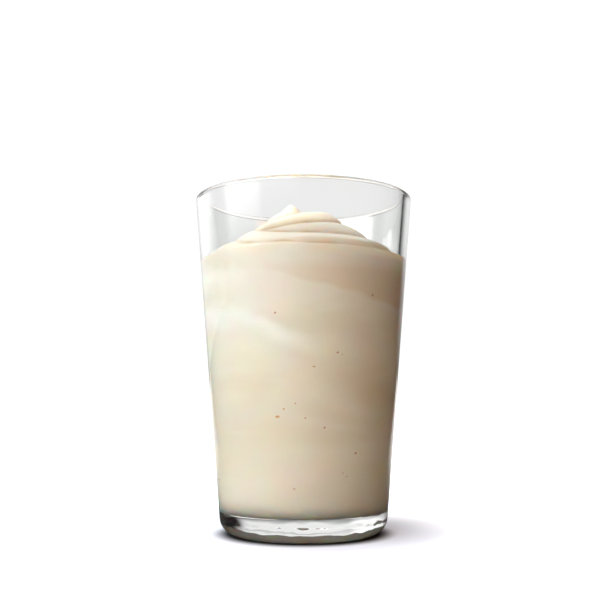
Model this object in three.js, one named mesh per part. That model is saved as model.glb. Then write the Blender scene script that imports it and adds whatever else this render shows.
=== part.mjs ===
// A vanilla milkshake in a conical glass tumbler, its top piped into a swirl with a leaning peak.
// Millimetres, +Z up. The origin is the middle of the foot, and the front of the swirl faces -Y.
// Azimuths are degrees from the front, growing towards +X.
import * as THREE from "three";

// Tumbler: a plain wall that flares upwards, a thick base and a shallow hollow under the foot
const GLASS_HEIGHT = 134.5;
const RIM_RADIUS = 44;
const WALL_THICKNESS = 3.3;
const WALL_LEAN = THREE.MathUtils.degToRad(4.85);
const BASE_THICKNESS = 8.9;
const HEEL_RADIUS = 6.8;
const INNER_CORNER_RADIUS = 7;
const PUNT_RADIUS = 18.5;
const PUNT_DEPTH = 0.8;
const PUNT_SLOPE_WIDTH = 2;
const GLASS_SEGMENTS = 72;
const HEEL_STEPS = 6;
const LIP_STEPS = 8;
const CORNER_STEPS = 6;

// Drink: fills the tumbler to a line that stands a little higher at the front
const CLEARANCE = 0.3;
const FILL_LEVEL = 108.3;
const FILL_TILT = 1.3;
const FILL_HIGH_AZIMUTH = 10;
const FILL_BLEND_START = 29;
const DRINK_SEGMENTS = 80;
const SWIRL_RINGS = 38;

// Swirl: a blunt cone wound round by one rope, whose crease spirals inwards as the azimuth grows
const CONE_SLOPE = 0.64;
const CROWN_HEIGHT = 126.6;
const CROWN_BLEND = 0.8;
const SEAM_AZIMUTH = -110;
const FULL_TURN = 360;
// Knots of [azimuth along the winding, radius of the crease]
const ROPE_CREASE = [
  [-110, 17],
  [-70, 20.6],
  [0, 27.5],
  [70, 27.2],
  [290, 20.6],
  [315, 23.6],
  [360, 19.4],
  [430, 16.5],
  [650, 16],
  [720, 9],
  [860, 0],
];
// Knots of [azimuth, radius] of the last fold, where the rope lies down against the wall
const SKIRT_CREASE = [
  [-110, 30],
  [-70, 28.5],
  [-25, 36.5],
  [70, 37],
  [250, 30],
];

// Rolls between creases: height by width, gentle above and steep below, dying out at the crown
const ROLL_RATIO = 0.14;
const ROLL_LIMIT = 1.9;
const ROLL_RISE = 0.7;
const ROLL_FALL = 0.5;
const ROLL_START = 4;
const ROLL_FULL = 10;

// Narrow gutter between the lowest roll and the wall, at the front right
const GUTTER_DEPTH = 1.2;
const GUTTER_WIDTH = 1.3;
const GUTTER_FADE_IN = [-12, 6];
const GUTTER_FADE_OUT = [75, 120];

// Peak left as the piping was drawn off: straight on its left side, rounded on its right
const PEAK = new THREE.Vector3(-5.6, 1, 132.3);
const PEAK_REACH = 16;
const PEAK_SLOPE = 0.97;
const PEAK_ROUNDING = 0.25;
const PEAK_CURVE = 0.16;
const PEAK_BLEND = 0.3;

// Centre of the rounded lip, which sets both faces of the wall
const LIP_RADIUS = WALL_THICKNESS / 2;
const LIP_CENTRE = new THREE.Vector2(RIM_RADIUS - LIP_RADIUS, GLASS_HEIGHT - LIP_RADIUS);

/** Radius at a height of the line that lies outside the middle of the wall by an offset. */
function wallRadius(height, offset) {
  const along = (height - LIP_CENTRE.y) * Math.sin(WALL_LEAN);
  return LIP_CENTRE.x + (offset + along) / Math.cos(WALL_LEAN);
}

/** Points of an arc in the profile plane, from one angle to another. */
function arcPoints(centre, radius, from, to, steps) {
  return Array.from({ length: steps + 1 }, (_, step) => {
    const angle = from + ((to - from) * step) / steps;
    return new THREE.Vector2(radius * Math.cos(angle), radius * Math.sin(angle)).add(centre);
  });
}

/** Arc of an inner bottom corner of a given radius, from the wall down to the floor. */
function cornerPoints(floor, offset, radius) {
  const height = floor + radius;
  const centre = new THREE.Vector2(wallRadius(height, offset - radius), height);
  return arcPoints(centre, radius, -WALL_LEAN, -Math.PI / 2, CORNER_STEPS);
}

/** Solid of revolution about +Z, with azimuth 0 at the front. */
function turned(profile, segments) {
  return new THREE.LatheGeometry(profile, segments).rotateX(Math.PI / 2);
}

/** Tumbler: outside from the punt up to the lip, then down the inside to the floor. */
function tumblerGeometry() {
  const heelCentre = new THREE.Vector2(wallRadius(HEEL_RADIUS, LIP_RADIUS - HEEL_RADIUS), HEEL_RADIUS);
  const profile = [
    new THREE.Vector2(0, PUNT_DEPTH),
    new THREE.Vector2(PUNT_RADIUS, PUNT_DEPTH),
    new THREE.Vector2(PUNT_RADIUS + PUNT_SLOPE_WIDTH, 0),
    ...arcPoints(heelCentre, HEEL_RADIUS, -Math.PI / 2, -WALL_LEAN, HEEL_STEPS),
    ...arcPoints(LIP_CENTRE, LIP_RADIUS, -WALL_LEAN, Math.PI - WALL_LEAN, LIP_STEPS),
    ...cornerPoints(BASE_THICKNESS, -LIP_RADIUS, INNER_CORNER_RADIUS),
    new THREE.Vector2(0, BASE_THICKNESS),
  ];
  return turned(profile, GLASS_SEGMENTS);
}

/** Curve through [position, value] knots, flat at its ends, that never swings past a knot. */
function knotCurve(knots) {
  const rise = knots.slice(1).map(([at, value], i) => (value - knots[i][1]) / (at - knots[i][0]));
  const slope = knots.map((_, i) => {
    const before = rise[i - 1] ?? 0;
    const after = rise[i] ?? 0;
    return before * after > 0 ? (2 * before * after) / (before + after) : 0;
  });
  return (at) => {
    const place = THREE.MathUtils.clamp(at, knots[0][0], knots.at(-1)[0]);
    const next = Math.max(1, knots.findIndex(([knot]) => knot >= place));
    const [start, from] = knots[next - 1];
    const [end, to] = knots[next];
    const span = end - start;
    const t = (place - start) / span;
    const ease = t * t * (3 - 2 * t);
    const leaving = t * (1 - t) * (1 - t) * span * slope[next - 1];
    const arriving = t * t * (t - 1) * span * slope[next];
    return from + (to - from) * ease + leaving + arriving;
  };
}

const ropeCrease = knotCurve(ROPE_CREASE);
const skirtCrease = knotCurve(SKIRT_CREASE);

/** Larger of two values, with a rounded change from one to the other. */
function softMax(a, b, blend) {
  return Math.max(a, b) + blend * Math.log1p(Math.exp(-Math.abs(a - b) / blend));
}

/** Azimuth of a point, in degrees from the front. */
function azimuthOf(x, y) {
  return THREE.MathUtils.radToDeg(Math.atan2(x, -y));
}

/** Height at which the drink meets the wall. */
function contactHeight(azimuth) {
  return FILL_LEVEL + FILL_TILT * Math.cos(THREE.MathUtils.degToRad(azimuth - FILL_HIGH_AZIMUTH));
}

/** Radius of the drink at a height, clear of the wall. */
function drinkRadius(height) {
  return wallRadius(height, -LIP_RADIUS - CLEARANCE);
}

/** Radii of the creases met from the axis out to the wall. */
function creaseRadii(azimuth) {
  const turn = azimuth < SEAM_AZIMUTH ? azimuth + FULL_TURN : azimuth;
  const upper = ropeCrease(turn + FULL_TURN);
  const lower = Math.max(ropeCrease(turn), upper);
  const skirt = Math.max(skirtCrease(turn), lower);
  return [0, ropeCrease(turn + 2 * FULL_TURN), upper, lower, skirt, drinkRadius(FILL_LEVEL)];
}

/** Height of the roll between the two creases that a radius lies between. */
function rollHeight(radius, creases) {
  const outer = creases.findIndex((crease) => crease > radius);
  if (outer < 1) {
    return 0;
  }
  const width = creases[outer] - creases[outer - 1];
  const t = (radius - creases[outer - 1]) / width;
  const crest = ROLL_RISE / (ROLL_RISE + ROLL_FALL);
  const bulge = (t / crest) ** ROLL_RISE * ((1 - t) / (1 - crest)) ** ROLL_FALL;
  const fade = THREE.MathUtils.smoothstep(radius, ROLL_START, ROLL_FULL);
  return Math.min(ROLL_LIMIT, ROLL_RATIO * width) * bulge * fade;
}

/** Depth of the gutter beside the wall. */
function gutterDepth(radius, azimuth, skirt) {
  const turn = azimuth < SEAM_AZIMUTH ? azimuth + FULL_TURN : azimuth;
  const fadeIn = THREE.MathUtils.smoothstep(turn, ...GUTTER_FADE_IN);
  const fadeOut = THREE.MathUtils.smoothstep(turn, ...GUTTER_FADE_OUT);
  return GUTTER_DEPTH * fadeIn * (1 - fadeOut) * Math.exp(-(((radius - skirt) / GUTTER_WIDTH) ** 2));
}

/** Height of the leaning peak's flanks. */
function peakHeight(x, y) {
  const away = Math.hypot(x - PEAK.x, y - PEAK.y);
  const rightness = away > 0 ? 0.5 + (0.5 * (x - PEAK.x)) / away : 0.5;
  const straight = PEAK_SLOPE * (Math.hypot(away, PEAK_ROUNDING) - PEAK_ROUNDING);
  const rounded = PEAK_CURVE * away * away;
  return PEAK.z - straight * (1 - rightness) - rounded * rightness;
}

/** Height of the swirl over a point. */
function swirlHeight(x, y) {
  const radius = Math.hypot(x, y);
  const azimuth = azimuthOf(x, y);
  const creases = creaseRadii(azimuth);
  const edge = creases.at(-1);
  const cone = FILL_LEVEL + CONE_SLOPE * (edge - radius);
  const crown = -softMax(-cone, -CROWN_HEIGHT, CROWN_BLEND);
  const edgeLift = contactHeight(azimuth) - FILL_LEVEL;
  const lift = edgeLift * THREE.MathUtils.smoothstep(radius, FILL_BLEND_START, edge);
  const gutter = gutterDepth(radius, azimuth, creases.at(-2));
  const body = crown + lift + rollHeight(radius, creases) - gutter;
  return softMax(body, peakHeight(x, y), PEAK_BLEND);
}

/** Drink: turned with a flat top, whose points are then raised on to the swirl. */
function milkshakeGeometry() {
  const floor = BASE_THICKNESS + CLEARANCE;
  const wallOffset = -LIP_RADIUS - CLEARANCE;
  const edge = drinkRadius(FILL_LEVEL);
  const rings = Array.from({ length: SWIRL_RINGS + 1 }, (_, ring) => {
    return new THREE.Vector2(edge * (1 - ring / SWIRL_RINGS), FILL_LEVEL);
  });
  const corner = cornerPoints(floor, wallOffset, INNER_CORNER_RADIUS - CLEARANCE);
  const profile = [new THREE.Vector2(0, floor), ...corner.reverse(), ...rings];
  const geometry = turned(profile, DRINK_SEGMENTS);
  const points = geometry.attributes.position;
  const firstTop = profile.length - rings.length;
  for (let i = 0; i < points.count; i += 1) {
    const ring = (i % profile.length) - firstTop;
    if (ring < 0) {
      continue;
    }
    const angle = (Math.floor(i / profile.length) / DRINK_SEGMENTS) * 2 * Math.PI;
    const rim = contactHeight(THREE.MathUtils.radToDeg(angle));
    const radius = drinkRadius(rim) * (1 - ring / SWIRL_RINGS);
    const shift = 1 - THREE.MathUtils.smoothstep(radius, 0, PEAK_REACH);
    const x = radius * Math.sin(angle) + PEAK.x * shift;
    const y = -radius * Math.cos(angle) + PEAK.y * shift;
    points.setXYZ(i, x, y, ring === 0 ? rim : swirlHeight(x, y));
  }
  geometry.computeVertexNormals();
  return geometry;
}

/** Named piece with a material of its own. */
function piece(name, geometry, finish) {
  const mesh = new THREE.Mesh(geometry, new THREE.MeshStandardMaterial(finish));
  mesh.name = name;
  return mesh;
}

const GLASS_FINISH = { color: 0xe9edec, roughness: 0.05, metalness: 0, transparent: true, opacity: 0.35 };
const MILKSHAKE_FINISH = { color: 0xf0e6d2, roughness: 0.45, metalness: 0 };

const milkshakeInGlass = new THREE.Group();
milkshakeInGlass.add(piece("glass_tumbler", tumblerGeometry(), GLASS_FINISH));
milkshakeInGlass.add(piece("milkshake", milkshakeGeometry(), MILKSHAKE_FINISH));

export default milkshakeInGlass;
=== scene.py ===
"""Looks of a vanilla milkshake in a conical glass tumbler.

Metres, +Z up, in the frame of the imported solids: the origin is the middle of the foot and the
front of the swirl faces -Y. Azimuths are degrees from the front, growing towards +X.
"""

import logging
import math
import random
from dataclasses import dataclass, field
from enum import Enum

import bmesh
import bpy
from mathutils import Euler, Matrix, Vector

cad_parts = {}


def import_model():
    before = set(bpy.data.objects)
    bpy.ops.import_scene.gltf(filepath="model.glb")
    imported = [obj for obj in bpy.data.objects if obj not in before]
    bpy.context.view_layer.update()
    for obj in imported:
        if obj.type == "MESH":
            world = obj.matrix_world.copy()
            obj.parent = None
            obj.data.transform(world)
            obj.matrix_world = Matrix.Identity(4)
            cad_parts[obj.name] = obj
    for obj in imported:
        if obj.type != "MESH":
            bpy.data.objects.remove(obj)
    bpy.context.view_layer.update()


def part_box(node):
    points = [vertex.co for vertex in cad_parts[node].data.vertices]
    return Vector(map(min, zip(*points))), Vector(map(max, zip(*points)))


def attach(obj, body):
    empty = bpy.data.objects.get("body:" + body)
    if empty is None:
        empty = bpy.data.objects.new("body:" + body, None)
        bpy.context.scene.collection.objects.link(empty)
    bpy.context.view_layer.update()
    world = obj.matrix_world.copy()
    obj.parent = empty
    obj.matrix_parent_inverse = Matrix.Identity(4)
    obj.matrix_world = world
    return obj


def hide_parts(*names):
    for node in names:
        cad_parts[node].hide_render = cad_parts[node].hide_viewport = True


MM = 0.001
FULL_TURN = 360.0
NOISE_MIDDLE = 0.5
MERGE_DISTANCE = 0.001 * MM
PLAIN_WHITE = "FFFFFF"
LOG = logging.getLogger("milkshake")

Colour = tuple[float, float, float, float]
Span = tuple[float, float]
Profile = list[Span]

FULL_RANGE: Span = (0.0, 1.0)


class Slot(Enum):
    """Material slots of the record."""

    GLASS = "clear_glass"
    SHAKE = "vanilla_milkshake"


class Solid(Enum):
    """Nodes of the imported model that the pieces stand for."""

    TUMBLER = "glass_tumbler"
    SHAKE = "milkshake"


def linear(hex_colour: str) -> Colour:
    """Turn an sRGB hex colour into linear red, green, blue and an alpha of 1.

    Args:
        hex_colour: Six hex digits.

    Returns:
        The linear colour.
    """
    channels = [int(hex_colour[i:i + 2], 16) / 255 for i in (0, 2, 4)]
    red, green, blue = (c / 12.92 if c <= 0.04045 else ((c + 0.055) / 1.055) ** 2.4 for c in channels)
    return (red, green, blue, 1.0)


def smoothstep(value: float, low: float, high: float) -> float:
    """Ease from 0 at low to 1 at high.

    Args:
        value: Where to read the step.
        low: Where it starts.
        high: Where it ends.

    Returns:
        A number from 0 to 1.
    """
    t = min(max((value - low) / (high - low), 0.0), 1.0)
    return t * t * (3 - 2 * t)


def soft_max(a: float, b: float, blend: float) -> float:
    """Take the larger of two values, with a rounded change from one to the other.

    Args:
        a: One value.
        b: The other value.
        blend: Width of the rounded change.

    Returns:
        The blended maximum.
    """
    return max(a, b) + blend * math.log1p(math.exp(-abs(a - b) / blend))


def add_node(tree: bpy.types.NodeTree, kind: str, inputs: dict | None = None,
             **settings: object) -> bpy.types.Node:
    """Add a shader node with its settings, values and links.

    Args:
        tree: Node tree that takes the node.
        kind: Blender's name for the type of node.
        inputs: Input name or index to its value, or to the output socket that feeds it.
        settings: Attributes of the node.

    Returns:
        The new node.
    """
    node = tree.nodes.new(kind)
    for name, value in settings.items():
        setattr(node, name, value)
    for key, value in (inputs or {}).items():
        if isinstance(value, bpy.types.NodeSocket):
            tree.links.new(value, node.inputs[key])
        else:
            node.inputs[key].default_value = value
    return node


def metres(span: Span) -> Span:
    """Both ends of a span of millimetres, in metres."""
    return (span[0] * MM, span[1] * MM)


def new_material(name: str) -> tuple[bpy.types.Material, bpy.types.NodeTree, bpy.types.Node]:
    """Make a material with a Principled shader.

    Args:
        name: Name of the real material.

    Returns:
        The material, its node tree and its shader node.
    """
    material = bpy.data.materials.new(name)
    material.use_nodes = True
    return material, material.node_tree, material.node_tree.nodes["Principled BSDF"]


def finish_piece(name: str, shape: bmesh.types.BMesh, material: bpy.types.Material) -> bpy.types.Object:
    """Turn a bmesh into a smooth piece at the origin, with its place in its mesh.

    Args:
        name: Name of the piece.
        shape: The closed shape, which is freed.
        material: Finish of the piece.

    Returns:
        The new object.
    """
    bmesh.ops.recalc_face_normals(shape, faces=shape.faces)
    for face in shape.faces:
        face.smooth = True
    mesh = bpy.data.meshes.new(name)
    shape.to_mesh(mesh)
    shape.free()
    mesh.materials.append(material)
    piece = bpy.data.objects.new(name, mesh)
    bpy.context.scene.collection.objects.link(piece)
    return piece


def turn_profile(profile: Profile, segments: int) -> bmesh.types.BMesh:
    """Spin an outline of (radius, height) once round +Z.

    Args:
        profile: Outline in millimetres, from the axis back to the axis.
        segments: Steps of the spin.

    Returns:
        The closed shape, in metres.
    """
    shape = bmesh.new()
    points = [shape.verts.new((0, -radius * MM, height * MM)) for radius, height in profile]
    edges = [shape.edges.new(pair) for pair in zip(points, points[1:])]
    bmesh.ops.spin(shape, geom=points + edges, axis=(0, 0, 1), cent=(0, 0, 0), angle=2 * math.pi,
                   steps=segments, use_merge=True)
    bmesh.ops.remove_doubles(shape, verts=shape.verts, dist=MERGE_DISTANCE)
    return shape


def arc(centre: Span, radius: float, start: float, end: float, steps: int) -> Profile:
    """Points of an arc of an outline.

    Args:
        centre: Radius and height of its centre, in millimetres.
        radius: Radius of the arc, in millimetres.
        start: First angle, in radians above the outward direction.
        end: Last angle.
        steps: Number of chords.

    Returns:
        The points, both ends among them.
    """
    angles = [start + (end - start) * step / steps for step in range(steps + 1)]
    return [(centre[0] + radius * math.cos(a), centre[1] + radius * math.sin(a)) for a in angles]


@dataclass(frozen=True)
class KnotCurve:
    """Curve through (position, value) knots, flat at its ends, that never swings past a knot."""

    knots: tuple[Span, ...]

    def slope(self, index: int) -> float:
        """Slope at a knot.

        Args:
            index: Which knot.

        Returns:
            The harmonic mean of the slopes beside it, or 0 at an end, a peak or a dip.
        """
        if index in (0, len(self.knots) - 1):
            return 0.0
        (x0, y0), (x1, y1), (x2, y2) = self.knots[index - 1:index + 2]
        before = (y1 - y0) / (x1 - x0)
        after = (y2 - y1) / (x2 - x1)
        return 2 * before * after / (before + after) if before * after > 0 else 0.0

    def at(self, position: float) -> float:
        """Value of the curve.

        Args:
            position: Where to read it; past an end, the end's value holds.

        Returns:
            The value there.
        """
        place = min(max(position, self.knots[0][0]), self.knots[-1][0])
        after = next(i for i in range(1, len(self.knots)) if self.knots[i][0] >= place)
        (start, low), (end, high) = self.knots[after - 1:after + 1]
        span = end - start
        t = (place - start) / span
        leaving = t * (1 - t) ** 2 * span * self.slope(after - 1)
        arriving = t * t * (t - 1) * span * self.slope(after)
        return low + (high - low) * t * t * (3 - 2 * t) + leaving + arriving


@dataclass(frozen=True)
class ClearGlass:
    """Soda-lime glass, pressed and fire-polished: clear, bright at its edges, with faint smears."""

    name: str = "soda_lime_glass"
    colour: str = "FEFFFE"
    ior: float = 1.52
    smear_mm: float = 16.0
    smear_levels: Span = (0.45, 0.75)
    smear_roughness: Span = (0.0, 0.02)
    smear_detail: float = 3.0
    wave_mm: float = 10.0
    wave_stretch: tuple[float, float, float] = (1.0, 1.0, 1.8)
    wave_detail: float = 1.5
    wave_strength: float = 1.0
    wave_depth_mm: float = 0.55
    wave_fade_mm: Span = (9.0, 5.0)

    def material(self) -> bpy.types.Material:
        """Make the glass: full transmission, smears as handling leaves them and a wavy base."""
        material, tree, shader = new_material(self.name)
        shader.inputs["Base Color"].default_value = linear(self.colour)
        shader.inputs["Transmission Weight"].default_value = 1.0
        shader.inputs["IOR"].default_value = self.ior
        place = add_node(tree, "ShaderNodeTexCoord")
        smears = add_node(tree, "ShaderNodeTexNoise", {
            "Vector": place.outputs["Object"], "Scale": 1 / (self.smear_mm * MM),
            "Detail": self.smear_detail})
        roughness = add_node(tree, "ShaderNodeMapRange", {
            "Value": smears.outputs["Fac"],
            "From Min": self.smear_levels[0], "From Max": self.smear_levels[1],
            "To Min": self.smear_roughness[0], "To Max": self.smear_roughness[1]})
        tree.links.new(roughness.outputs["Result"], shader.inputs["Roughness"])
        self.press_base(tree, place.outputs["Object"], shader)
        return material

    def press_base(self, tree: bpy.types.NodeTree, place: bpy.types.NodeSocket,
                   shader: bpy.types.Node) -> None:
        """Leave the slight waves of pressing in the thick base, gone higher up.

        Args:
            tree: Node tree of the glass.
            place: Position on the glass.
            shader: Shader that takes the waves.
        """
        flat = add_node(tree, "ShaderNodeVectorMath", {
            0: place, 1: self.wave_stretch}, operation="MULTIPLY")
        waves = add_node(tree, "ShaderNodeTexNoise", {
            "Vector": flat.outputs["Vector"], "Scale": 1 / (self.wave_mm * MM),
            "Detail": self.wave_detail})
        level = add_node(tree, "ShaderNodeMath", {
            0: waves.outputs["Fac"], 1: NOISE_MIDDLE}, operation="SUBTRACT")
        axes = add_node(tree, "ShaderNodeSeparateXYZ", {"Vector": place})
        none, full = metres(self.wave_fade_mm)
        low = add_node(tree, "ShaderNodeMapRange", {
            "Value": axes.outputs["Z"], "From Min": none, "From Max": full},
            interpolation_type="SMOOTHSTEP")
        relief = add_node(tree, "ShaderNodeMath", {
            0: level.outputs["Value"], 1: low.outputs["Result"]}, operation="MULTIPLY")
        bump = add_node(tree, "ShaderNodeBump", {
            "Height": relief.outputs["Value"], "Strength": self.wave_strength,
            "Distance": self.wave_depth_mm * MM})
        tree.links.new(bump.outputs["Normal"], shader.inputs["Normal"])


@dataclass(frozen=True)
class Streak:
    """Layer of another tone in the drink, which shows at its side as a slanting streak.

    Millimetres: the height is that on the axis, the fall that for each millimetre to the right, and
    the middle and half span are places across.
    """

    colour: str
    strength: float
    height: float
    fall: float
    half_thickness: float
    middle: float
    half_span: float


@dataclass(frozen=True)
class VanillaShake:
    """Thick blended ice cream and milk: opaque cream with soft, warm shadows and a wet sheen."""

    name: str = "vanilla_milkshake"
    cream: str = "F3F1E7"
    warm: str = "E9E5D4"
    # Painted shade of the fold, in a band under the fill line that grows stronger to the right.
    fold_shade: str = "E9DFCD"
    # Painted shade in the creases of the swirl, darker and warmer than the cream.
    crease: str = "C8A97C"
    roughness: float = 0.4
    ior: float = 1.36
    scatter_mm: float = 3.5
    scatter_reach: tuple[float, float, float] = (1.0, 0.6, 0.32)
    marbling_mm: float = 26.0
    marbling_detail: float = 4.0
    marbling_roughness: float = 0.45
    marbling_distortion: float = 0.6
    marbling_slant: float = math.radians(24)
    marbling_stretch: tuple[float, float, float] = (0.5, 0.5, 1.6)
    marbling_levels: Span = (0.4, 0.66)
    marbling_strength: float = 0.7
    # Warmer below 90 mm, fully so by 45 mm, and a little warmer on the swirl above 108 mm.
    low_warmth_mm: Span = (90.0, 45.0)
    low_warmth_strength: float = 0.5
    high_warmth_mm: Span = (108.0, 116.0)
    high_warmth_strength: float = 0.2
    wander_mm: float = 11.0
    wander_detail: float = 3.0
    crease_shade_levels: Span = (0.38, 0.62)
    crease_shade_strength: Span = (0.45, 1.0)
    grain_mm: float = 2.4
    grain_detail: float = 2.0
    grain_strength: float = 0.12
    grain_depth_mm: float = 0.2
    fold_height_mm: float = 97.0
    fold_wander_mm: float = 5.0
    fold_fall: float = 0.24
    fold_edge_mm: float = 1.0
    fold_top_mm: Span = (105.0, 100.0)
    fold_side_mm: Span = (-30.0, 24.0)
    fold_shade_strength: Span = (0.1, 0.9)
    streak_wander_mm: float = 7.0
    streaks: tuple[Streak, ...] = (
        Streak("FFFFF6", 1.0, height=73.2, fall=0.46, half_thickness=5.5, middle=-12, half_span=24),
        Streak("FFFFF6", 1.0, height=82.0, fall=0.08, half_thickness=8.0, middle=-40, half_span=32),
        Streak("FFFFF6", 0.9, height=98.0, fall=0.05, half_thickness=6.0, middle=-40, half_span=30),
        Streak("E2D6BE", 0.5, height=66.0, fall=0.35, half_thickness=12.0, middle=24, half_span=36),
    )

    def material(self) -> bpy.types.Material:
        """Make the drink: marbled and streaked cream, with painted shade in its creases and in a band under
        the fill line, that light sinks into.
        """
        material, tree, shader = new_material(self.name)
        shader.inputs["Roughness"].default_value = self.roughness
        shader.inputs["IOR"].default_value = self.ior
        shader.inputs["Subsurface Weight"].default_value = 1.0
        shader.inputs["Subsurface Radius"].default_value = self.scatter_reach
        shader.inputs["Subsurface Scale"].default_value = self.scatter_mm * MM
        place = add_node(tree, "ShaderNodeTexCoord").outputs["Object"]
        wander = add_node(tree, "ShaderNodeTexNoise", {
            "Vector": place, "Scale": 1 / (self.wander_mm * MM), "Detail": self.wander_detail})
        colour = self.marbling(tree, place)
        colour = self.streaked(tree, place, wander.outputs["Fac"], colour)
        colour = self.painted_fold_shade(tree, place, wander.outputs["Fac"], colour)
        # Painted crease shade: the crease colour darkens the cream near each crease of the swirl, in
        # patches.
        crease = add_node(tree, "ShaderNodeAttribute", attribute_name=Milkshake.CREASE_SHADE)
        patches = add_node(tree, "ShaderNodeMapRange", {
            "Value": wander.outputs["Fac"],
            "From Min": self.crease_shade_levels[0], "From Max": self.crease_shade_levels[1],
            "To Min": self.crease_shade_strength[0], "To Max": self.crease_shade_strength[1]},
            interpolation_type="SMOOTHSTEP")
        deep = add_node(tree, "ShaderNodeMath", {
            0: crease.outputs["Fac"], 1: patches.outputs["Result"]}, operation="MULTIPLY")
        colour = add_node(tree, "ShaderNodeMix", {
            0: deep.outputs["Value"], 6: colour, 7: linear(self.crease)}, data_type="RGBA")
        tree.links.new(colour.outputs[2], shader.inputs["Base Color"])
        grain = add_node(tree, "ShaderNodeTexNoise", {
            "Vector": place, "Scale": 1 / (self.grain_mm * MM), "Detail": self.grain_detail})
        bump = add_node(tree, "ShaderNodeBump", {
            "Height": grain.outputs["Fac"], "Strength": self.grain_strength,
            "Distance": self.grain_depth_mm * MM})
        tree.links.new(bump.outputs["Normal"], shader.inputs["Normal"])
        return material

    def marbling(self, tree: bpy.types.NodeTree, place: bpy.types.NodeSocket) -> bpy.types.NodeSocket:
        """Mix cream and a warmer tone in long slanting drifts, warmer low down and on the swirl.

        Args:
            tree: Node tree of the material.
            place: Object coordinates.

        Returns:
            The marbled colour.
        """
        slant = add_node(tree, "ShaderNodeMapping", {
            "Vector": place, "Rotation": (0.0, self.marbling_slant, 0.0), "Scale": self.marbling_stretch})
        drift = add_node(tree, "ShaderNodeTexNoise", {
            "Vector": slant.outputs["Vector"], "Scale": 1 / (self.marbling_mm * MM),
            "Detail": self.marbling_detail, "Roughness": self.marbling_roughness,
            "Distortion": self.marbling_distortion})
        height = add_node(tree, "ShaderNodeSeparateXYZ", {"Vector": place}).outputs["Z"]
        causes = ((drift.outputs["Fac"], self.marbling_levels, self.marbling_strength),
                  (height, metres(self.low_warmth_mm), self.low_warmth_strength),
                  (height, metres(self.high_warmth_mm), self.high_warmth_strength))
        warmth = 0.0
        for value, (start, end), strength in causes:
            share = add_node(tree, "ShaderNodeMapRange", {
                "Value": value, "From Min": start, "From Max": end, "To Max": strength},
                interpolation_type="SMOOTHSTEP")
            added = add_node(tree, "ShaderNodeMath", {0: warmth, 1: share.outputs["Result"]},
                             operation="ADD", use_clamp=True)
            warmth = added.outputs["Value"]
        mixed = add_node(tree, "ShaderNodeMix", {
            0: warmth, 6: linear(self.cream), 7: linear(self.warm)}, data_type="RGBA")
        return mixed.outputs[2]

    def slanting_height(self, tree: bpy.types.NodeTree, place: bpy.types.NodeSocket,
                        wander: bpy.types.NodeSocket, fall: float,
                        wander_mm: float) -> bpy.types.NodeSocket:
        """Height over a plane that falls to the right, made to wander.

        Args:
            tree: Node tree of the material.
            place: Object coordinates.
            wander: Noise from 0 to 1.
            fall: Fall of the plane for each unit to the right.
            wander_mm: Full range of the wandering, in millimetres.

        Returns:
            The height, in metres.
        """
        plane = add_node(tree, "ShaderNodeVectorMath", {0: place, 1: (fall, 0.0, 1.0)},
                         operation="DOT_PRODUCT")
        offset = add_node(tree, "ShaderNodeMath", {0: wander, 1: NOISE_MIDDLE}, operation="SUBTRACT")
        height = add_node(tree, "ShaderNodeMath", {
            0: offset.outputs["Value"], 1: wander_mm * MM, 2: plane.outputs["Value"]},
            operation="MULTIPLY_ADD")
        return height.outputs["Value"]

    def streaked(self, tree: bpy.types.NodeTree, place: bpy.types.NodeSocket,
                 wander: bpy.types.NodeSocket, colour: bpy.types.NodeSocket) -> bpy.types.NodeSocket:
        """Lay the streaks over a colour.

        Args:
            tree: Node tree of the material.
            place: Object coordinates.
            wander: Noise from 0 to 1.
            colour: Colour below the streaks.

        Returns:
            The streaked colour.
        """
        axes = add_node(tree, "ShaderNodeSeparateXYZ", {"Vector": place})
        for streak in self.streaks:
            height = self.slanting_height(tree, place, wander, streak.fall, self.streak_wander_mm)
            weight = 1.0
            reaches = ((height, streak.height, streak.half_thickness),
                       (axes.outputs["X"], streak.middle, streak.half_span))
            for value, middle, reach in reaches:
                away = add_node(tree, "ShaderNodeMath", {0: value, 1: middle * MM}, operation="SUBTRACT")
                distance = add_node(tree, "ShaderNodeMath", {0: away.outputs["Value"]},
                                    operation="ABSOLUTE")
                near = add_node(tree, "ShaderNodeMapRange", {
                    "Value": distance.outputs["Value"], "From Min": reach * MM, "From Max": 0.0},
                    interpolation_type="SMOOTHSTEP")
                both = add_node(tree, "ShaderNodeMath", {0: weight, 1: near.outputs["Result"]},
                                operation="MULTIPLY")
                weight = both.outputs["Value"]
            amount = add_node(tree, "ShaderNodeMath", {0: weight, 1: streak.strength}, operation="MULTIPLY")
            mixed = add_node(tree, "ShaderNodeMix", {
                0: amount.outputs["Value"], 6: colour, 7: linear(streak.colour)}, data_type="RGBA")
            colour = mixed.outputs[2]
        return colour

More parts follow.
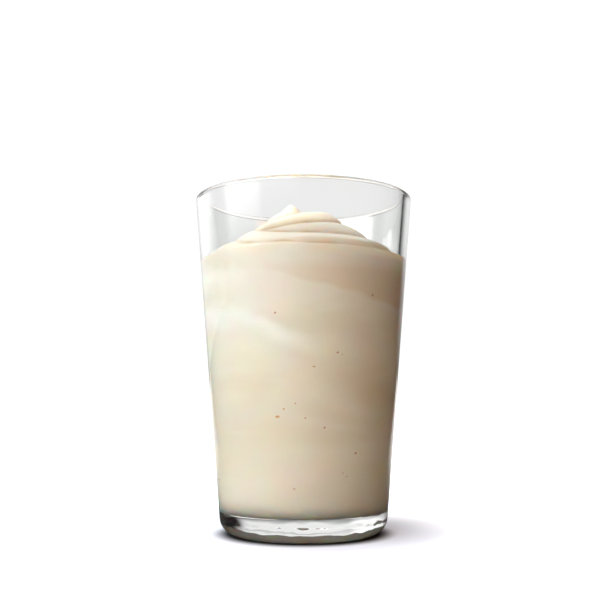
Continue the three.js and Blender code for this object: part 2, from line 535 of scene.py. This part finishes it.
    def painted_fold_shade(self, tree: bpy.types.NodeTree, place: bpy.types.NodeSocket,
                    wander: bpy.types.NodeSocket, colour: bpy.types.NodeSocket) -> bpy.types.NodeSocket:
        """Paint a darker, warmer band under the fill line, stronger to the right: painted shade of the fold
        where the piped rope folds down against the glass.

        Args:
            tree: Node tree of the material.
            place: Object coordinates.
            wander: Noise from 0 to 1.
            colour: Colour of the rest of the drink.

        Returns:
            The colour with the band.
        """
        axes = add_node(tree, "ShaderNodeSeparateXYZ", {"Vector": place})
        height = self.slanting_height(tree, place, wander, self.fold_fall, self.fold_wander_mm)
        edge = (self.fold_height_mm - self.fold_edge_mm, self.fold_height_mm + self.fold_edge_mm)
        limits = ((height, edge, FULL_RANGE),
                  (axes.outputs["Z"], self.fold_top_mm, FULL_RANGE),
                  (axes.outputs["X"], self.fold_side_mm, self.fold_shade_strength))
        amount = 1.0
        for value, span, (least, most) in limits:
            start, end = metres(span)
            share = add_node(tree, "ShaderNodeMapRange", {
                "Value": value, "From Min": start, "From Max": end, "To Min": least, "To Max": most},
                interpolation_type="SMOOTHSTEP")
            both = add_node(tree, "ShaderNodeMath", {0: amount, 1: share.outputs["Result"]},
                            operation="MULTIPLY")
            amount = both.outputs["Value"]
        mixed = add_node(tree, "ShaderNodeMix", {
            0: amount, 6: colour, 7: linear(self.fold_shade)}, data_type="RGBA")
        return mixed.outputs[2]


@dataclass(frozen=True)
class GroundPod:
    """Ground vanilla pod: matt red-brown specks, some paler where cream covers them."""

    name: str = "ground_vanilla_pod"
    dark: str = "BB8B72"
    pale: str = "DAB47A"
    roughness: float = 0.7

    def material(self) -> bpy.types.Material:
        """Make the specks, each with its own share of the two browns."""
        material, tree, shader = new_material(self.name)
        shader.inputs["Roughness"].default_value = self.roughness
        shade = add_node(tree, "ShaderNodeAttribute", attribute_name=VanillaSpecks.SHADE)
        colour = add_node(tree, "ShaderNodeMix", {
            0: shade.outputs["Fac"], 6: linear(self.dark), 7: linear(self.pale)}, data_type="RGBA")
        tree.links.new(colour.outputs[2], shader.inputs["Base Color"])
        return material


@dataclass
class Tumbler:
    """Conical tumbler with a heavy base, a rounded lip and heel and a shallow hollow under its foot."""

    height: float
    rim_radius: float
    wall: float = 3.3
    lean: float = math.radians(4.85)
    base: float = 8.9
    heel_radius: float = 6.8
    corner_radius: float = 7.0
    punt_radius: float = 18.5
    punt_depth: float = 0.8
    punt_slope: float = 2.0
    wall_margin: float = 0.4
    wall_steps: int = 24
    heel_steps: int = 32
    lip_steps: int = 36
    corner_steps: int = 24
    edge_margin: float = 0.01
    segments: int = 256
    finish: ClearGlass = field(default_factory=ClearGlass)

    @property
    def lip_radius(self) -> float:
        """Radius of the rounded lip."""
        return self.wall / 2

    @property
    def lip_centre(self) -> Span:
        """Radius and height of the centre of the lip."""
        return (self.rim_radius - self.lip_radius, self.height - self.lip_radius)

    def wall_radius(self, height: float, offset: float) -> float:
        """Radius of the line that lies outside the middle of the wall by an offset.

        Args:
            height: Height, in millimetres.
            offset: Distance outwards from the middle of the wall, square to it.

        Returns:
            The radius, in millimetres.
        """
        along = (height - self.lip_centre[1]) * math.sin(self.lean)
        return self.lip_centre[0] + (offset + along) / math.cos(self.lean)

    def corner(self, floor: float, offset: float, radius: float, steps: int) -> Profile:
        """Arc of an inner bottom corner, from the wall down to the floor.

        Args:
            floor: Height of the floor.
            offset: Offset of the wall that the arc meets.
            radius: Radius of the arc.
            steps: Number of chords.

        Returns:
            The points of the arc.
        """
        centre = (self.wall_radius(floor + radius, offset - radius), floor + radius)
        return arc(centre, radius, -self.lean, -math.pi / 2, steps)

    def wall_points(self, start: float, end: float, offset: float) -> Profile:
        """Points along a straight stretch of wall, close enough to keep its shading straight.

        Args:
            start: First height, in millimetres.
            end: Last height.
            offset: Distance outwards from the middle of the wall.

        Returns:
            The points, both ends among them.
        """
        heights = [start + (end - start) * step / self.wall_steps for step in range(self.wall_steps + 1)]
        return [(self.wall_radius(height, offset), height) for height in heights]

    def outline(self) -> Profile:
        """Outline from the hollow under the foot, up the outside, over the lip and down to the floor."""
        heel = (self.wall_radius(self.heel_radius, self.lip_radius - self.heel_radius), self.heel_radius)
        top = self.lip_centre[1] - self.wall_margin
        return [
            (0, self.punt_depth),
            (self.punt_radius, self.punt_depth),
            (self.punt_radius + self.punt_slope, 0),
            *arc(heel, self.heel_radius, -math.pi / 2, -self.lean, self.heel_steps),
            *self.wall_points(self.heel_radius + self.wall_margin, top, self.lip_radius),
            *arc(self.lip_centre, self.lip_radius, -self.lean, math.pi - self.lean, self.lip_steps),
            *self.wall_points(top, self.base + self.corner_radius + self.wall_margin, -self.lip_radius),
            *self.corner(self.base, -self.lip_radius, self.corner_radius, self.corner_steps),
            (0, self.base),
        ]

    def build(self) -> bpy.types.Object:
        """Spin the outline into the glass, with crisp edges round the hollow under the foot."""
        shape = turn_profile(self.outline(), self.segments)
        crisp = (self.punt_radius + self.punt_slope + self.edge_margin) * MM
        for edge in shape.edges:
            if all(v.co.z < self.base / 2 * MM and v.co.xy.length < crisp for v in edge.verts):
                edge.smooth = False
        piece = finish_piece("clear_tumbler", shape, self.finish.material())
        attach(piece, "root")
        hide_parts(Solid.TUMBLER.value)
        return piece


@dataclass
class Milkshake:
    """Drink that fills the tumbler, its top a blunt cone wound round by one piped rope."""

    # Attribute that holds the painted shade of the creases.
    CREASE_SHADE = "crease"
    SEAM_AZIMUTH = -110.0

    tumbler: Tumbler
    into_wall: float = 0.12
    fill_level: float = 108.3
    fill_tilt: float = 1.3
    fill_high_azimuth: float = 10.0
    fill_blend_start: float = 29.0
    cone_slope: float = 0.64
    crown_height: float = 126.6
    crown_blend: float = 0.8
    rope_crease: KnotCurve = KnotCurve((
        (-110, 17), (-70, 20.6), (0, 27.5), (70, 27.2), (290, 20.6), (315, 23.6), (360, 19.4),
        (430, 16.5), (650, 16), (720, 9), (860, 0)))
    skirt_crease: KnotCurve = KnotCurve(((-110, 30), (-70, 28.5), (-25, 36.5), (70, 37), (250, 30)))
    roll_ratio: float = 0.14
    roll_limit: float = 1.9
    roll_rise: float = 0.7
    roll_fall: float = 0.5
    roll_start: float = 4.0
    roll_full: float = 10.0
    gutter_depth: float = 1.2
    gutter_width: float = 1.3
    gutter_fade_in: Span = (-12.0, 6.0)
    gutter_fade_out: Span = (75.0, 120.0)
    peak: Vector = field(default_factory=lambda: Vector((-5.6, 1.0, 132.3)))
    peak_reach: float = 16.0
    peak_slope: float = 0.97
    peak_rounding: float = 0.25
    peak_curve: float = 0.16
    peak_blend: float = 0.3
    # Strength and reach of the painted shade in the creases.
    crease_shade_strength: float = 0.9
    crease_shade_reach: float = 1.1
    side_top: int = 106
    side_bottom: int = 18
    side_step: int = 2
    corner_steps: int = 10
    level_margin: float = 0.01
    segments: int = 320
    rings: int = 150
    finish: VanillaShake = field(default_factory=VanillaShake)

    def turn(self, azimuth: float) -> float:
        """Azimuth counted on from the seam of the winding."""
        return azimuth + FULL_TURN if azimuth < self.SEAM_AZIMUTH else azimuth

    def side_radius(self, height: float) -> float:
        """Radius of the drink's side, which reaches just into the glass."""
        return self.tumbler.wall_radius(height, self.into_wall - self.tumbler.lip_radius)

    def contact_height(self, azimuth: float) -> float:
        """Height at which the drink meets the wall."""
        return self.fill_level + self.fill_tilt * math.cos(math.radians(azimuth - self.fill_high_azimuth))

    def crease_radii(self, azimuth: float) -> list[float]:
        """Radii of the creases met from the axis out to the wall.

        Args:
            azimuth: Degrees from the front.

        Returns:
            The radii, growing, with the axis first and the wall last.
        """
        turn = self.turn(azimuth)
        upper = self.rope_crease.at(turn + FULL_TURN)
        lower = max(self.rope_crease.at(turn), upper)
        skirt = max(self.skirt_crease.at(turn), lower)
        inmost = self.rope_crease.at(turn + 2 * FULL_TURN)
        return [0.0, inmost, upper, lower, skirt, self.side_radius(self.fill_level)]

    def roll(self, radius: float, creases: list[float]) -> float:
        """Height of the roll between the two creases that a radius lies between.

        Args:
            radius: Distance from the axis.
            creases: Radii of the creases at that azimuth.

        Returns:
            The height, gentle on the upper side of the roll and steep on the lower.
        """
        outer = next((i for i, crease in enumerate(creases) if crease > radius), 0)
        if outer == 0:
            return 0.0
        width = creases[outer] - creases[outer - 1]
        t = (radius - creases[outer - 1]) / width
        crest = self.roll_rise / (self.roll_rise + self.roll_fall)
        bulge = (t / crest) ** self.roll_rise * ((1 - t) / (1 - crest)) ** self.roll_fall
        fade = smoothstep(radius, self.roll_start, self.roll_full)
        return min(self.roll_limit, self.roll_ratio * width) * bulge * fade

    def gutter(self, radius: float, azimuth: float, skirt: float) -> float:
        """Depth of the narrow gutter between the lowest roll and the wall.

        Args:
            radius: Distance from the axis.
            azimuth: Degrees from the front.
            skirt: Radius of the last crease.

        Returns:
            The depth, which is 0 away from the front right.
        """
        turn = self.turn(azimuth)
        shown = smoothstep(turn, *self.gutter_fade_in) * (1 - smoothstep(turn, *self.gutter_fade_out))
        return self.gutter_depth * shown * math.exp(-((radius - skirt) / self.gutter_width) ** 2)

    def peak_height(self, x: float, y: float) -> float:
        """Height of the flanks of the leaning peak.

        Args:
            x: Place across, in millimetres.
            y: Place in depth, in millimetres.

        Returns:
            The height: straight on the left of the peak, rounded on its right.
        """
        away = math.hypot(x - self.peak.x, y - self.peak.y)
        rightness = 0.5 + 0.5 * (x - self.peak.x) / away if away > 0 else 0.5
        straight = self.peak_slope * (math.hypot(away, self.peak_rounding) - self.peak_rounding)
        return self.peak.z - straight * (1 - rightness) - self.peak_curve * away * away * rightness

    def swirl_height(self, x: float, y: float) -> float:
        """Height of the swirl over a point.

        Args:
            x: Place across, in millimetres.
            y: Place in depth, in millimetres.

        Returns:
            The height, in millimetres.
        """
        radius = math.hypot(x, y)
        azimuth = math.degrees(math.atan2(x, -y))
        creases = self.crease_radii(azimuth)
        cone = self.fill_level + self.cone_slope * (creases[-1] - radius)
        crown = -soft_max(-cone, -self.crown_height, self.crown_blend)
        lift = self.contact_height(azimuth) - self.fill_level
        lift *= smoothstep(radius, self.fill_blend_start, creases[-1])
        body = crown + lift + self.roll(radius, creases) - self.gutter(radius, azimuth, creases[-2])
        return soft_max(body, self.peak_height(x, y), self.peak_blend)

    def painted_crease_shade(self, x: float, y: float) -> float:
        """Painted shade of the creases at a point, strongest in a crease and fading across the rolls."""
        radius = math.hypot(x, y)
        creases = self.crease_radii(math.degrees(math.atan2(x, -y)))
        nearest = min(abs(radius - crease) for crease in creases[1:-1])
        fade = smoothstep(radius, self.roll_start, self.roll_full)
        return self.crease_shade_strength * math.exp(-nearest / self.crease_shade_reach) * fade

    def outline(self) -> Profile:
        """Outline with a flat top: from the axis out to the wall, down it and back along the floor."""
        edge = self.side_radius(self.fill_level)
        offset = self.into_wall - self.tumbler.lip_radius
        floor = self.tumbler.base - self.into_wall
        heights = range(self.side_top, self.side_bottom, -self.side_step)
        return [
            *((edge * ring / self.rings, self.fill_level) for ring in range(self.rings + 1)),
            *((self.side_radius(height), height) for height in heights),
            *self.tumbler.corner(floor, offset, self.tumbler.corner_radius, self.corner_steps),
            (0, floor),
        ]

    def build(self) -> bpy.types.Object:
        """Turn the drink with a flat top, raise that on to the swirl and store the painted crease shade at
        each point.
        """
        shape = turn_profile(self.outline(), self.segments)
        crease = shape.verts.layers.float.new(self.CREASE_SHADE)
        edge = self.side_radius(self.fill_level)
        half_ring = 0.5 / self.rings
        for vert in shape.verts:
            if vert.co.z < (self.fill_level - self.level_margin) * MM:
                continue
            share = vert.co.xy.length / MM / edge
            angle = math.atan2(vert.co.x, -vert.co.y)
            rim = self.contact_height(math.degrees(angle))
            radius = share * self.side_radius(rim)
            shift = 1 - smoothstep(radius, 0, self.peak_reach)
            x = radius * math.sin(angle) + self.peak.x * shift
            y = -radius * math.cos(angle) + self.peak.y * shift
            z = rim if share > 1 - half_ring else self.swirl_height(x, y)
            vert.co = Vector((x, y, z)) * MM
            vert[crease] = self.painted_crease_shade(x, y)
        piece = finish_piece("milkshake_swirl", shape, self.finish.material())
        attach(piece, "root")
        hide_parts(Solid.SHAKE.value)
        return piece


@dataclass
class VanillaSpecks:
    """Specks of ground vanilla against the glass: placed ones at the front, strewn ones behind."""

    SHADE = "shade"

    shake: Milkshake
    # Azimuth, height, length in millimetres and paleness of each speck that shows at the front
    placed: tuple[tuple[float, float, float, float], ...] = (
        (42, 91.7, 1.0, 0.0), (-16, 84.4, 0.9, 0.1), (20, 69.9, 0.9, 0.1), (6, 64.7, 1.0, 0.1),
        (-16, 46.5, 1.7, 0.7), (13, 42.5, 1.0, 0.2), (35, 33.0, 1.1, 0.2), (-53, 87.6, 0.7, 0.8),
        (23, 69.2, 0.6, 0.6), (-5, 51.3, 0.7, 0.7), (-12, 49.3, 0.8, 0.8), (1, 46.0, 0.7, 0.5),
        (26, 25.9, 0.7, 0.6), (29, 24.6, 0.7, 0.5), (-6, 20.4, 0.8, 0.6))
    strewn: int = 34
    front_half_angle: float = 70.0
    lowest: float = 18.0
    highest: float = 100.0
    lengths: Span = (0.6, 1.2)
    thickness: float = 0.24
    width_ratios: Span = (0.56, 0.8)
    most_tilt: float = 0.9
    subdivisions: int = 2
    seed: int = 7
    finish: GroundPod = field(default_factory=GroundPod)

    def all_specks(self) -> list[tuple[float, float, float, float]]:
        """Placed specks and strewn ones, the latter round the sides and the back."""
        draw = random.Random(self.seed)
        back = [(draw.uniform(self.front_half_angle, FULL_TURN - self.front_half_angle),
                 draw.uniform(self.lowest, self.highest), draw.uniform(*self.lengths), draw.random())
                for _ in range(self.strewn)]
        return [*self.placed, *back]

    def build(self) -> bpy.types.Object:
        """Set each speck as a small flattened blob, half sunk in the side of the drink."""
        draw = random.Random(self.seed)
        shape = bmesh.new()
        shade = shape.verts.layers.float.new(self.SHADE)
        for azimuth, height, length, paleness in self.all_specks():
            angle = math.radians(azimuth)
            radius = self.shake.side_radius(height)
            place = Vector((radius * math.sin(angle), -radius * math.cos(angle), height)) * MM
            width = length * draw.uniform(*self.width_ratios)
            halves = Vector((length, self.thickness, width)) * MM / 2
            size = Matrix.Diagonal(halves.to_4d())
            tilt = Euler((0, draw.uniform(-self.most_tilt, self.most_tilt), angle)).to_matrix().to_4x4()
            blob = bmesh.ops.create_icosphere(shape, subdivisions=self.subdivisions, radius=1.0,
                                              matrix=Matrix.Translation(place) @ tilt @ size)
            for vert in blob["verts"]:
                vert[shade] = paleness
        piece = finish_piece("vanilla_specks", shape, self.finish.material())
        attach(piece, "root")
        return piece


@dataclass(frozen=True)
class MattBoard:
    """Matt white board of the set, with painted light and shade: white to the eye, a painted dim tone in
    what the glass mirrors, a painted shadow under the foot.

    Millimetres: the glow, a painted light for the eye that lightens the cast shadow, rises over a
    range of distances from the middle of the foot, the painted bright strip behind the glass over a
    range of depths, and it ends over a range of places across, which spreads by so much for each
    millimetre of depth.
    """

    name: str = "matt_white_board"
    white: str = "ECF2FF"
    # Painted shade and light for every ray but the camera's: the dim tone round about and the bright strip
    # behind the glass.
    dim: str = "484848"
    bright: str = "F0F0F0"
    # Painted contact shadow under and round the foot.
    painted_foot_shadow: str = "202020"
    roughness: float = 0.8
    # Painted light: a glow for the eye that lightens the cast shadow away from the foot.
    glow: float = 0.7
    glow_range: Span = (39.0, 90.0)
    painted_foot_shadow_range: Span = (29.0, 38.0)
    strip_depth: Span = (45.0, 300.0)
    strip_side: Span = (160.0, 60.0)
    right_spread: float = 0.45
    left_spread: float = 0.5

    def material(self) -> bpy.types.Material:
        """Make the board: white for the eye, with painted shade and light: a dim tone and a bright strip in
        what the glass mirrors, a painted shadow under the foot, and a glow that lightens the cast shadow
        away from the foot.
        """
        material, tree, shader = new_material(self.name)
        place = add_node(tree, "ShaderNodeTexCoord").outputs["Object"]
        seen = add_node(tree, "ShaderNodeLightPath").outputs["Is Camera Ray"]
        axes = add_node(tree, "ShaderNodeSeparateXYZ", {"Vector": place})
        away = add_node(tree, "ShaderNodeVectorMath", {0: place}, operation="LENGTH")
        right = add_node(tree, "ShaderNodeVectorMath", {0: place, 1: (1.0, -self.right_spread, 0.0)},
                         operation="DOT_PRODUCT")
        left = add_node(tree, "ShaderNodeVectorMath", {0: place, 1: (-1.0, -self.left_spread, 0.0)},
                        operation="DOT_PRODUCT")
        across = add_node(tree, "ShaderNodeMath", {
            0: right.outputs["Value"], 1: left.outputs["Value"]}, operation="MAXIMUM")
        ranges = ((axes.outputs["Y"], self.strip_depth), (across.outputs["Value"], self.strip_side),
                  (away.outputs["Value"], self.painted_foot_shadow_range), (away.outputs["Value"], self.glow_range))
        steps = [
            add_node(tree, "ShaderNodeMapRange", {
                "Value": value, "From Min": start * MM, "From Max": end * MM},
                interpolation_type="SMOOTHSTEP").outputs["Result"]
            for value, (start, end) in ranges]
        depth, side, past_painted_foot_shadow, far = steps
        strip = add_node(tree, "ShaderNodeMath", {0: depth, 1: side}, operation="MULTIPLY")
        # Painted dim tone with a painted bright strip, for every ray but the camera's.
        mirrored = add_node(tree, "ShaderNodeMix", {
            0: strip.outputs["Value"], 6: linear(self.dim), 7: linear(self.bright)}, data_type="RGBA")
        board = add_node(tree, "ShaderNodeMix", {
            0: seen, 6: mirrored.outputs[2], 7: linear(self.white)}, data_type="RGBA")
        # Painted contact shadow near the foot, for every ray.
        tone = add_node(tree, "ShaderNodeMix", {
            0: past_painted_foot_shadow, 6: linear(self.painted_foot_shadow), 7: board.outputs[2]}, data_type="RGBA")
        tree.links.new(tone.outputs[2], shader.inputs["Base Color"])
        # Glow for camera rays only, a painted light that lightens the cast shadow away from the foot.
        lifted = add_node(tree, "ShaderNodeMath", {0: far, 1: seen}, operation="MULTIPLY")
        glow = add_node(tree, "ShaderNodeMath", {0: lifted.outputs["Value"], 1: self.glow},
                        operation="MULTIPLY")
        shader.inputs["Emission Color"].default_value = linear(PLAIN_WHITE)
        tree.links.new(glow.outputs["Value"], shader.inputs["Emission Strength"])
        shader.inputs["Roughness"].default_value = self.roughness
        shader.inputs["Specular IOR Level"].default_value = 0.0
        return material


@dataclass(frozen=True)
class LightPanel:
    """Part of the surroundings that shines evenly: degrees of heading and elevation, with soft edges."""

    name: str
    colour: str
    radiance: float
    azimuth: float
    half_width: float
    low: float
    high: float
    edge: float


@dataclass
class Studio:
    """Pale floor, soft light and the camera of the photograph."""

    focal_px: float = 902.0
    picture_px: float = 600.0
    axis_px: float = 303.0
    sensor_mm: float = 36.0
    distance: float = 365.6
    eye_height: float = 53.8
    pitch: float = 6.093
    nearest: float = 10.0
    floor_radius: float = 30000.0
    floor_segments: int = 96
    plate_strength: float = 1.05
    board: MattBoard = field(default_factory=MattBoard)
    panels: tuple[LightPanel, ...] = (
        LightPanel("backdrop", "FFFFFF", 0.92, azimuth=-166, half_width=50, low=3, high=50, edge=8),
        LightPanel("left_wall", "FFFFFF", 0.4, azimuth=-125, half_width=30, low=-6, high=14, edge=6),
        LightPanel("softbox", "FFFFFF", 11.8, azimuth=-48, half_width=42, low=11, high=33, edge=9),
        LightPanel("softbox_foot", "FFFFFF", 2.6, azimuth=-68, half_width=20, low=4, high=10, edge=5),
        LightPanel("high_left", "FFFFFF", 0.4, azimuth=-120, half_width=50, low=25, high=66, edge=10),
        LightPanel("overhead", "FFFFFF", 0.5, azimuth=40, half_width=70, low=48, high=80, edge=10),
        LightPanel("back_light", "FFFFFF", 1.2, azimuth=180, half_width=80, low=34, high=60, edge=10),
        LightPanel("fill", "FFAE52", 2.7, azimuth=22, half_width=36, low=11, high=30, edge=8),
    )

    def place_camera(self) -> None:
        """Set the camera below the rim, tilted up, at the photograph's distance."""
        lens = bpy.data.cameras.new("camera")
        lens.sensor_width = self.sensor_mm
        lens.lens = self.focal_px * self.sensor_mm / self.picture_px
        lens.shift_x = ((self.picture_px - 1) / 2 - self.axis_px) / self.picture_px
        lens.clip_start = self.nearest * MM
        camera = bpy.data.objects.new("camera", lens)
        camera.location = (0, -self.distance * MM, self.eye_height * MM)
        camera.rotation_euler = (math.radians(90 + self.pitch), 0, 0)
        bpy.context.scene.collection.objects.link(camera)
        bpy.context.scene.camera = camera

    def lay_floor(self) -> None:
        """Lay the pale floor."""
        shape = bmesh.new()
        bmesh.ops.create_circle(shape, cap_ends=True, segments=self.floor_segments,
                                radius=self.floor_radius * MM)
        floor = finish_piece("studio_floor", shape, self.board.material())

    def light(self) -> None:
        """Light the set by the panels alone, and show the camera plain white between them."""
        world = bpy.data.worlds.new("studio_light")
        world.use_nodes = True
        tree = world.node_tree
        tree.nodes.clear()
        place = add_node(tree, "ShaderNodeTexCoord")
        axes = add_node(tree, "ShaderNodeSeparateXYZ", {"Vector": place.outputs["Generated"]})
        level = add_node(tree, "ShaderNodeVectorMath", {0: place.outputs["Generated"], 1: (1, 1, 0)},
                         operation="MULTIPLY")
        heading = add_node(tree, "ShaderNodeVectorMath", {0: level.outputs["Vector"]},
                           operation="NORMALIZE")
        total = None
        for panel in self.panels:
            weight = self.panel_weight(tree, panel, heading.outputs["Vector"], axes.outputs["Z"])
            shine = tuple(channel * panel.radiance for channel in linear(panel.colour)[:3])
            inputs = {0: weight, 1: shine}
            if total is not None:
                inputs[2] = total
            added = add_node(tree, "ShaderNodeVectorMath", inputs, operation="MULTIPLY_ADD",
                             label=panel.name)
            total = added.outputs["Vector"]
        lit = add_node(tree, "ShaderNodeBackground", {"Color": total})
        plain = add_node(tree, "ShaderNodeBackground", {
            "Color": linear(PLAIN_WHITE), "Strength": self.plate_strength})
        path = add_node(tree, "ShaderNodeLightPath")
        mixed = add_node(tree, "ShaderNodeMixShader", {
            0: path.outputs["Is Camera Ray"], 1: lit.outputs["Background"], 2: plain.outputs["Background"]})
        add_node(tree, "ShaderNodeOutputWorld", {"Surface": mixed.outputs["Shader"]})
        bpy.context.scene.world = world
        bpy.context.scene.view_settings.view_transform = "Standard"

    def panel_weight(self, tree: bpy.types.NodeTree, panel: LightPanel, heading: bpy.types.NodeSocket,
                     rise: bpy.types.NodeSocket) -> bpy.types.NodeSocket:
        """Weight of a panel in each direction.

        Args:
            tree: Node tree of the world.
            panel: The panel.
            heading: Level unit vector of the direction.
            rise: Sine of the direction's elevation.

        Returns:
            A value that is 1 inside the panel and 0 outside.
        """
        angle = math.radians(panel.azimuth)
        middle = (math.sin(angle), -math.cos(angle), 0)
        towards = add_node(tree, "ShaderNodeVectorMath", {0: heading, 1: middle}, operation="DOT_PRODUCT")
        wide, edge = panel.half_width, panel.edge
        limits = ((towards.outputs["Value"], math.cos, wide + edge, wide - edge),
                  (rise, math.sin, panel.low - edge, panel.low + edge),
                  (rise, math.sin, panel.high + edge, panel.high - edge))
        weight = 1.0
        for value, measure, outside, inside in limits:
            step = add_node(tree, "ShaderNodeMapRange", {
                "Value": value, "From Min": measure(math.radians(outside)),
                "From Max": measure(math.radians(inside))}, interpolation_type="SMOOTHSTEP")
            both = add_node(tree, "ShaderNodeMath", {0: weight, 1: step.outputs["Result"]},
                            operation="MULTIPLY")
            weight = both.outputs["Value"]
        return weight


def main() -> None:
    """Build the set and the pieces."""
    logging.basicConfig(level=logging.INFO, format="%(name)s: %(message)s")
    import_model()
    low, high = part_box(Solid.TUMBLER.value)
    studio = Studio()
    studio.place_camera()
    studio.light()
    studio.lay_floor()
    tumbler = Tumbler(height=(high.z - low.z) / MM, rim_radius=(high.x - low.x) / 2 / MM)
    shake = Milkshake(tumbler)
    for assembly in (tumbler, shake, VanillaSpecks(shake)):
        piece = assembly.build()
        LOG.info("%s: %d faces", piece.name, len(piece.data.polygons))


if __name__ == "__main__":
    main()
